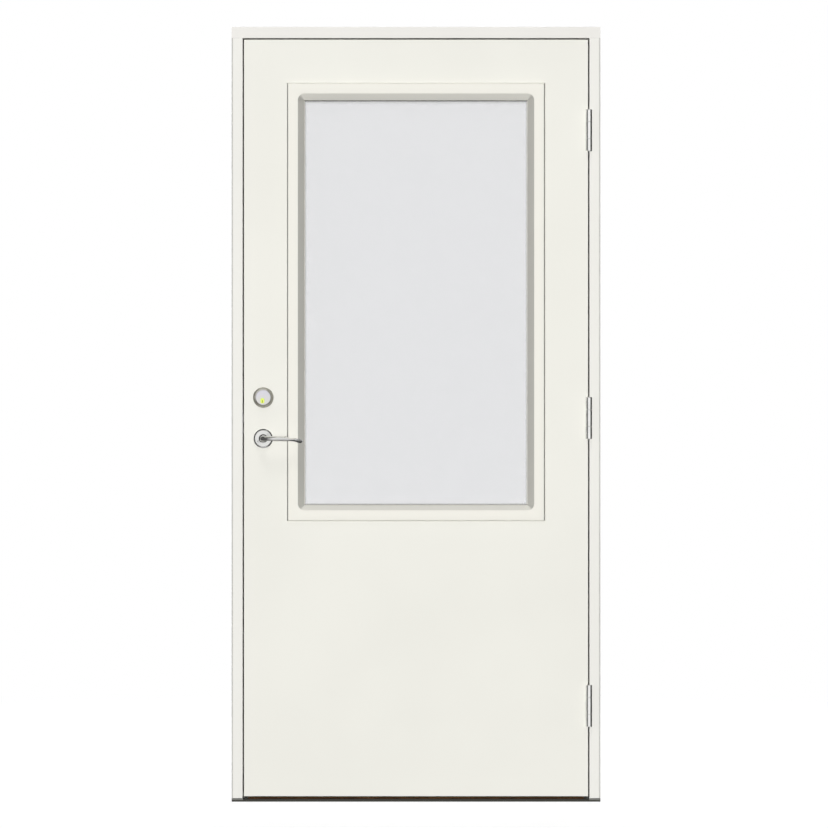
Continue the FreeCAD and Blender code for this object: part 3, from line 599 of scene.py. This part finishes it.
for side, face, out in (("outside", outer_face, -1), ("inside", inner_face, 1)):
    loops = [round_pane(margin, face + out * rise, radius) for margin, rise, radius in SURROUND_PROFILE]
    piece(skinned("surround_moulding_" + side, loops, (False, False)), "leaf", surround_paint,
          ("glass_surround_" + side,))

# Painted shade: each pane is greyer and covers more along its edges, reaching further in at the top.
glass = bpy.data.materials.new("clear_glass")
nodes = fresh(glass)
height = measured(nodes, 2)
inward = nodes.maths("MINIMUM", PANE_HALF - abs(measured(nodes, 0)), (PANE_HIGH - height) * PANE_SHADE_AT_TOP)
inward = nodes.maths("MINIMUM", inward, height - PANE_LOW).rising(0.0, PANE_SHADE_WIDTH)
ripple = noise(nodes, 2.0, detail=1.0)
surface(glass, nodes, {
    "Base Color": inward.blend(tone(PANE_EDGE_SHADE_COLOUR), tone(GLASS_COLOUR)),
    "Roughness": 0.16,
    "Specular IOR Level": 0.4,
    "Alpha": PANE_EDGE_SHADE_COVER + (GLASS_COVER - PANE_EDGE_SHADE_COVER) * inward,
    "Normal": bumped(nodes, ripple, 0.0002),
})
coat(glass, "glass_outer_pane", "glass_inner_pane")

spacer_metal = bpy.data.materials.new("spacer_metal")
nodes = fresh(spacer_metal)
rolled = noise(nodes, 800.0, (0.05, 1, 0.05), detail=2.0)
surface(spacer_metal, nodes, {
    "Base Color": rolled.blend(shaded(SPACER_COLOUR, 0.9), shaded(SPACER_COLOUR, 1.1)),
    "Metallic": 0.8,
    "Roughness": 0.35 + rolled * 0.1,
})
coat(spacer_metal, "glass_spacer")

STRIP_WIDTH = 0.0015
STRIP_HEIGHT = 0.0012
STRIP_CROWN = 0.7
STRIP_ENDS = (0.0015, 0.003)

# Painted shade: the strip is darker along the pane's top and a little darker along its foot than at its
# sides.
strip_rubber = bpy.data.materials.new("glazing_strip")
nodes = fresh(strip_rubber)
height = measured(nodes, 2)
upper = height.rising(PANE_HIGH - STRIP_ENDS[1], PANE_HIGH - STRIP_ENDS[0])
above_foot = height.rising(PANE_LOW + STRIP_ENDS[0], PANE_LOW + STRIP_ENDS[1])
sides = above_foot.blend(tone(STRIP_FOOT_SHADE), tone(STRIP_COLOUR))
matt = noise(nodes, 700.0, detail=2.0)
surface(strip_rubber, nodes, {
    "Base Color": upper.blend(sides, tone(STRIP_TOP_SHADE)),
    "Normal": bumped(nodes, matt, 0.00004),
    "Roughness": 0.6,
})
for name, pane, face, out in (("glazing_strip_outside", "glass_outer_pane", 0, -1),
                              ("glazing_strip_inside", "glass_inner_pane", 1, 1)):
    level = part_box(pane)[face].y
    loops = []
    for inset, rise in ((0, 0), (0, STRIP_HEIGHT), (STRIP_WIDTH * STRIP_CROWN, STRIP_HEIGHT),
                        (STRIP_WIDTH, 0)):
        half, foot, top = PANE_HALF - inset, PANE_LOW + inset, PANE_HIGH - inset
        loops.append([(x, level + out * rise, z)
                      for x, z in ((-half, foot), (half, foot), (half, top), (-half, top))])
    piece(skinned(name, loops, (False, False)), "leaf", strip_rubber)


# The hinges. Three bright zinc-plated butt hinges, their plates let in flush and held by countersunk
# cross-head screws, and a pin of drawn steel through each.

ZINC_COLOUR = (240, 240, 238)
STEEL_COLOUR = (204, 204, 202)
KNUCKLE_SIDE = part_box("hinge_low_pin")[1].x + 0.0008
KNUCKLE_BLUR = 0.0006
KNUCKLE_SHADE_SHARE = 0.02
PLATE_FRONT = outer_face + 0.001
PLATE_FADE = 0.003
PLATE_DULLNESS = 0.45
PLATE_SCREW_RADIUS = 0.0042
PLATE_SCREW_DOME = 0.0005
PLATE_SCREW_SPOTS = ((-0.040, -0.0315), (-0.015, -0.0415), (0.015, -0.0315), (0.040, -0.0415))


def metal(name, colour, roughness, brushed=(1, 1, 1), scratch=0.06, metallic=1.0, of_hinge=False):
    """Bare or plated metal with a fine finish along one axis and faint smudges.

    A hinge's knuckles are painted near black on the jamb's side, as painted shade, and its plates are duller
    behind the door's face."""
    material = bpy.data.materials.new(name)
    nodes = fresh(material)
    lines = noise(nodes, 500.0, brushed, detail=3.0)
    smudge = noise(nodes, 25.0, detail=2.0)
    colours = smudge.rising(0.3, 0.7).blend(shaded(colour, 0.95), shaded(colour, 1.03))
    if of_hinge:
        # Painted shade: the knuckles go near black beyond this x.
        beyond = measured(nodes, 0).rising(KNUCKLE_SIDE - KNUCKLE_BLUR, KNUCKLE_SIDE + KNUCKLE_BLUR)
        colours = beyond.blend(colours, shaded(colour, KNUCKLE_SHADE_SHARE))
        on_plate = measured(nodes, 1).rising(PLATE_FRONT, PLATE_FRONT + PLATE_FADE)
        metallic = metallic - on_plate * PLATE_DULLNESS
    return surface(material, nodes, {
        "Base Color": colours,
        "Metallic": metallic,
        "Roughness": roughness + (lines - 0.5) * scratch + (smudge - 0.5) * 0.05,
        "Normal": bumped(nodes, lines, 0.00002),
    })


zinc = metal("bright_zinc", ZINC_COLOUR, 0.12, (1, 1, 0.05), metallic=0.86, of_hinge=True)
steel = metal("satin_steel", STEEL_COLOUR, 0.3, (1, 1, 0.03), 0.12, metallic=0.55)


CROSS_ARM = 0.62
CROSS_HALF = 0.13
CROSS_DEPTH = 1.2


def cross_head(name, centre, normal, radius, dome):
    """A screw head seated on a face, crowned by a dome, with a cross recess."""
    out = Vector(normal).normalized()
    side = out.orthogonal().normalized()
    up = out.cross(side)
    arm, half = radius * CROSS_ARM, radius * CROSS_HALF
    corner = math.atan2(half, arm)
    turns = []
    for quarter in range(4):
        turns += [quarter * math.pi / 2 + turn
                  for turn in (-math.pi / 4, -math.pi / 7, -corner, 0, corner, math.pi / 7)]

    def ring(reach, rise):
        return [Vector(centre) + out * rise + (side * math.cos(turn) + up * math.sin(turn)) * reach(turn)
                for turn in turns]

    def recess(turn):
        turn = (turn + math.pi / 4) % (math.pi / 2) - math.pi / 4
        return min(arm / math.cos(turn), half / max(abs(math.sin(turn)), 1e-6))

    return skinned(name, [
        ring(lambda turn: radius, -dome),
        ring(lambda turn: radius, dome * 0.1),
        ring(lambda turn: radius * 0.93, dome * 0.6),
        ring(lambda turn: radius * 0.78, dome),
        ring(recess, dome),
        ring(recess, -dome * CROSS_DEPTH),
    ])


def screws(name, spots, normal, radius, dome, body):
    """A group of like steel screws in one plate."""
    heads = [cross_head(name, spot, normal, radius, dome) for spot in spots]
    piece(joined(name, heads), body, steel)


leaf_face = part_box("leaf_hinge_stile")[1].x
jamb_face = -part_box("strike_plate")[1].x
for hinge in ("low", "middle", "high"):
    low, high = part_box(f"hinge_{hinge}_pin")
    level = (low.z + high.z) / 2
    coat(zinc, f"hinge_{hinge}_frame_half", f"hinge_{hinge}_leaf_half")
    coat(steel, f"hinge_{hinge}_pin")
    for half, face, normal in (("frame", jamb_face, (-1, 0, 0)), ("leaf", leaf_face, (1, 0, 0))):
        spots = [(face, depth, level + rise) for rise, depth in PLATE_SCREW_SPOTS]
        screws(f"hinge_{hinge}_{half}_screws", spots, normal, PLATE_SCREW_RADIUS, PLATE_SCREW_DOME, half)


# The lock. A satin steel forend let into the leaf's edge with a latch and a dead bolt in it, and a strike
# plate screwed to the jamb.

BOLT_COLOUR = (206, 204, 198)
FOREND_SCREW_MARGIN = 0.012
STRIKE_SCREW_MARGIN = 0.010
LOCK_SCREW_RADIUS = 0.0040
LOCK_SCREW_DOME = 0.0005

coat(steel, "lock_case", "strike_plate")
bolt_metal = metal("nickel_bolt", BOLT_COLOUR, 0.25, (0.05, 1, 1), metallic=0.6)
coat(bolt_metal, "latch_bolt", "dead_bolt")
low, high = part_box("lock_case")
forend_middle = (low.y + high.y) / 2
spots = [(low.x, forend_middle, level)
         for level in (low.z + FOREND_SCREW_MARGIN, high.z - FOREND_SCREW_MARGIN)]
screws("forend_screws", spots, (-1, 0, 0), LOCK_SCREW_RADIUS, LOCK_SCREW_DOME, "leaf")
low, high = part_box("strike_plate")
spots = [(high.x, forend_middle, level)
         for level in (low.z + STRIKE_SCREW_MARGIN, high.z - STRIKE_SCREW_MARGIN)]
screws("strike_screws", spots, (1, 0, 0), LOCK_SCREW_RADIUS, LOCK_SCREW_DOME, "frame")


# The levers. Each is a bar of polished chrome, cast in one with its neck and collar, which comes out of
# a round rose, bends to lie along the door and ends in a small heel. Two screws hold each rose.

CHROME_COLOUR = (228, 228, 226)
ROSE_COLOUR = (226, 226, 224)
ROSE_SCREW_RADIUS = 0.0033
ROSE_SCREW_DOME = 0.0013
ROSE_SCREWS = ((-0.0126, -0.0075), (0.0123, 0.0102))
ROSE_DISH = 0.0003
GRIP_OUT = 0.047
LEVER_ROUNDING = 2
NECK_STATIONS = ((-0.002, 0.0094), (0.0089, 0.0094), (0.0091, 0.0118), (0.0096, 0.0122), (0.0100, 0.0120),
                 (0.0118, 0.0097), (0.0128, 0.0088), (0.0190, 0.0082), (0.0280, 0.0079), (0.0345, 0.0077),
                 (0.0375, 0.0076))
GRIP_STATIONS = (
    (0.0078, 0.0134, 0.0132, 0, 0.0064, 0), (0.0110, 0.0134, 0.0128, 0, 0.0053, 0),
    (0.0210, 0.0136, 0.0122, -0.0001, 0.0027, 0), (0.0320, 0.0142, 0.0126, -0.0003, 0.0011, 0),
    (0.0460, 0.0145, 0.0128, -0.0002, 0.0001, 0), (0.0590, 0.0144, 0.0126, -0.0002, 0, 0),
    (0.0645, 0.0142, 0.0118, 0.0007, 0, 0), (0.0682, 0.0137, 0.0092, 0.0019, 0.0001, 0),
    (0.0714, 0.0132, 0.0078, 0.0026, 0.0003, 0), (0.0795, 0.0130, 0.0074, 0.0028, 0.0008, 4),
    (0.0875, 0.0126, 0.0078, 0.0034, 0.0017, 10), (0.0940, 0.0114, 0.0092, 0.0052, 0.0034, 18),
    (0.0990, 0.0098, 0.0100, 0.0066, 0.0052, 20), (0.1030, 0.0080, 0.0078, 0.0070, 0.0068, 20),
    (0.1062, 0.0050, 0.0038, 0.0072, 0.0082, 20), (0.1074, 0.0030, 0.0018, 0.0072, 0.0088, 20))
GRIP_OUTLINE = (
    (1.00, 0.22), (0.93, 0.36), (0.62, 0.58), (0.26, 0.80), (-0.10, 0.99), (-0.45, 1.00), (-0.82, 0.82),
    (-1.00, 0.42), (-1.00, -0.20), (-0.97, -0.68), (-0.72, -0.97), (-0.20, -1.00), (0.32, -1.00),
    (0.72, -1.00), (0.90, -0.93), (0.95, -0.76), (0.97, -0.40), (0.99, -0.05))


low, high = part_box("lever_spindle")
lever_x = (low.x + high.x) / 2
lever_z = (low.z + high.z) / 2


def lever_rings():
    """The outside lever's sections, from its foot in the rose to its tip."""
    def section(centre, aside, depth, height, outline, roll=0):
        """An outline round a centre, scaled to half its depth and height, and rolled to face down."""
        turn = math.radians(roll)
        points = []
        for across, up in outline:
            out, rise = depth * across, height * up
            points.append(Vector(centre) + Vector(aside) * (out * math.cos(turn) + rise * math.sin(turn))
                          + Vector((0, 0, rise * math.cos(turn) - out * math.sin(turn))))
        return points

    disc = [tuple(Vector(point).normalized()) for point in GRIP_OUTLINE]
    rings = [section((lever_x, outer_face - out, lever_z), (-1, 0, 0), radius, radius, disc)
             for out, radius in NECK_STATIONS]
    for along, depth, height, drop, back, roll in GRIP_STATIONS:
        centre = (lever_x + along, outer_face - GRIP_OUT + back, lever_z - drop)
        rings.append(section(centre, (0, -1, 0), depth / 2, height / 2, GRIP_OUTLINE, roll))
    return rings


def mirrored(rings):
    """The same rings on the door's inner face, turned so that they still face out."""
    return [[Vector((x, outer_face + inner_face - y, z)) for x, y, z in reversed(ring)] for ring in rings]


LATHE_SIDES = 96


def turned_rings(profile, centre_z):
    """Rings on the outer face round an axis in line with the lever's, from (radius, out) pairs."""
    turns = [2 * math.pi * step / LATHE_SIDES for step in range(LATHE_SIDES)]
    return [[Vector((lever_x + radius * math.sin(turn), outer_face - out, centre_z + radius * math.cos(turn)))
             for turn in turns] for radius, out in profile]


low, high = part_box("rose_outside")
rose_radius = (high.x - low.x) / 2 + 0.0004
rose_out = high.y - low.y
rose = turned_rings((
    (rose_radius, 0), (rose_radius, rose_out - 0.0027), (rose_radius - 0.0033, rose_out),
    (rose_radius - 0.0039, rose_out), (rose_radius - 0.0041, rose_out - 0.0006),
    (rose_radius - 0.0044, rose_out - 0.0004), (0.0102, rose_out - ROSE_DISH), (0.0100, rose_out - 0.0006),
    (0.0099, 0.0005)), lever_z)
lever = lever_rings()
chrome = metal("bright_chrome", CHROME_COLOUR, 0.08, scratch=0.03)
rose_metal = metal("rose_metal", ROSE_COLOUR, 0.09, scratch=0.03)
for side, placed, face, out in (("outside", list, outer_face, -1), ("inside", mirrored, inner_face, 1)):
    bar = piece(skinned("lever_bar_" + side, placed(lever), smooth_angle=180), "lever_set",
                chrome, ("lever_" + side,))
    rounding = bar.modifiers.new("rounding", "SUBSURF")
    rounding.levels = rounding.render_levels = LEVER_ROUNDING
    piece(skinned("rose_cover_" + side, placed(rose), (False, False), smooth_angle=20), "leaf",
          rose_metal, ("rose_" + side,))
    seat = face + out * (rose_out - ROSE_DISH)
    screws("rose_screws_" + side, [(lever_x + x, seat, lever_z + z) for x, z in ROSE_SCREWS],
           (0, out, 0), ROSE_SCREW_RADIUS, ROSE_SCREW_DOME, "leaf")
coat(steel, "lever_spindle")


# The cylinder. A satin ring of slanted profile round the pale face of the lock's cylinder, and in it a
# yellow-green key plug with an upright keyway. Inside, a like ring carries a turned base and a thumb turn.

# Painted light and shade on the ring: lighter above and below, darkest on the left and darker on the right.
RING_LIT_MIDDLE = (180, 178, 170)
RING_LEFT_SHADE = (134, 132, 125)
RING_RIGHT_SHADE = (160, 158, 150)
# A painted highlight on the ring's inner upper left, with its reach and side.
RING_HIGHLIGHT = (222, 220, 215)
RING_FRONT = 0.022
HIGHLIGHT_REACH = (0.0222, 0.0238)
HIGHLIGHT_SIDE = (-0.026, -0.002)
SIDE_FADE = (-0.018, 0.018)
MIDDLE_FADE = (0.007, 0.021)

low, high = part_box("cylinder_ring")
cylinder_z = (low.z + high.z) / 2
ring_radius = (high.x - low.x) / 2
ring_out = high.y - low.y
low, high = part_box("lock_cylinder")
cylinder_radius = (high.x - low.x) / 2
ring = turned_rings((
    (ring_radius, 0), (ring_radius, 0.0006), (ring_radius - 0.0004, 0.0012),
    (RING_FRONT + 0.0004, ring_out - 0.0008), (RING_FRONT, ring_out - 0.0002),
    (RING_FRONT - 0.0006, ring_out), (cylinder_radius + 0.0008, ring_out),
    (cylinder_radius + 0.0003, ring_out - 0.0005), (cylinder_radius + 0.0003, 0.0005)), cylinder_z)
satin = bpy.data.materials.new("satin_ring")
nodes = fresh(satin)
aside = measured(nodes, 0) - lever_x
above = measured(nodes, 2) - cylinder_z
reach = nodes.maths("SQRT", aside * aside + above * above)
# Painted highlight: a pale patch on the ring's inner upper left.
ring_highlight = (1 - reach.rising(*HIGHLIGHT_REACH)) * (1 - (aside - above).rising(*HIGHLIGHT_SIDE))
turned = noise(nodes, 500.0, detail=3.0)
# Painted shade: the ring's left and right sides are darker than its top and bottom.
sides = aside.rising(*SIDE_FADE).blend(tone(RING_LEFT_SHADE), tone(RING_RIGHT_SHADE))
plain = abs(aside).rising(*MIDDLE_FADE).blend(tone(RING_LIT_MIDDLE), sides)
surface(satin, nodes, {
    "Base Color": ring_highlight.blend(plain, tone(RING_HIGHLIGHT)),
    "Metallic": 1.0,
    "Roughness": 0.36 + (turned - 0.5) * 0.08,
    "Normal": bumped(nodes, turned, 0.00002),
})
for side, placed, node in (("outside", list, "cylinder_ring"), ("inside", mirrored, "thumb_turn_ring")):
    piece(skinned("cylinder_ring_" + side, placed(ring), (False, False)), "leaf", satin,
          (node,))

FACE_LOW = (231, 230, 226)
FACE_HIGH = (229, 227, 235)
FACE_FADE = (-0.012, 0.016)
face_metal = bpy.data.materials.new("cylinder_face")
nodes = fresh(face_metal)
upper = measured(nodes, 2).rising(cylinder_z + FACE_FADE[0], cylinder_z + FACE_FADE[1])
lathe_lines = noise(nodes, 900.0, detail=2.0)
surface(face_metal, nodes, {
    "Base Color": upper.blend(tone(FACE_LOW), tone(FACE_HIGH)),
    "Metallic": 0.6,
    "Roughness": 0.3 + (lathe_lines - 0.5) * 0.08,
})
coat(face_metal, "lock_cylinder", "thumb_turn_base")
coat(steel, "thumb_turn")

PLUG_COLOUR = (236, 251, 122)
# Painted shade: the keyway's walls are a darker olive than the plug's face.
SLOT_SHADE_COLOUR = (154, 172, 44)
PLUG_SIDES = 48
PLUG_SQUARENESS = 3.2
SLOT_HALF = (0.0011, 0.0040)
SLOT_SQUARENESS = 5
SLOT_FLARE = 0.55
SLOT_DROP = 0.0012
plug = bpy.data.materials.new("key_plug")
nodes = fresh(plug)
low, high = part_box("key_plug")
# Painted shade: the plug is darker where it is sunk into the keyway.
sunk = measured(nodes, 1).rising(low.y + 0.0003, low.y + 0.0008)
surface(plug, nodes, {
    "Base Color": sunk.blend(tone(PLUG_COLOUR), tone(SLOT_SHADE_COLOUR)),
    "Roughness": 0.35,
    "Specular IOR Level": 0.5,
})
plug_centre = ((low.x + high.x) / 2, (low.z + high.z) / 2)
plug_half = ((high.x - low.x) / 2, (high.z - low.z) / 2)


def rounded(half, power):
    """A rounded outline round an origin, as points: half its width and height, and how square it is."""
    outline = []
    for step in range(PLUG_SIDES):
        turn = 2 * math.pi * step / PLUG_SIDES
        across, up = math.sin(turn), math.cos(turn)
        outline.append((half[0] * math.copysign(abs(across) ** (2 / power), across),
                        half[1] * math.copysign(abs(up) ** (2 / power), up)))
    return outline


def plug_ring(half, power, level, flare=0.0, drop=0.0):
    """An outline in the plug: how much wider it gets downwards, and how far it sits below the middle."""
    return [Vector((plug_centre[0] + across * (1 - flare * up / half[1]), level, plug_centre[1] + up - drop))
            for across, up in rounded(half, power)]


def shrunk(half, by):
    """The outline's half sizes, taken in all round."""
    return tuple(size - by for size in half)


plug_rings = [
    plug_ring(plug_half, PLUG_SQUARENESS, high.y),
    plug_ring(plug_half, PLUG_SQUARENESS, low.y + 0.0005),
    plug_ring(shrunk(plug_half, 0.0003), PLUG_SQUARENESS, low.y + 0.0001),
    plug_ring(shrunk(plug_half, 0.0008), PLUG_SQUARENESS, low.y),
    plug_ring(SLOT_HALF, SLOT_SQUARENESS, low.y + 0.0001, SLOT_FLARE, SLOT_DROP),
    plug_ring(shrunk(SLOT_HALF, 0.0001), SLOT_SQUARENESS, high.y - 0.0001, SLOT_FLARE, SLOT_DROP)]
piece(skinned("key_plug_face", plug_rings), "leaf", plug, ("key_plug",))
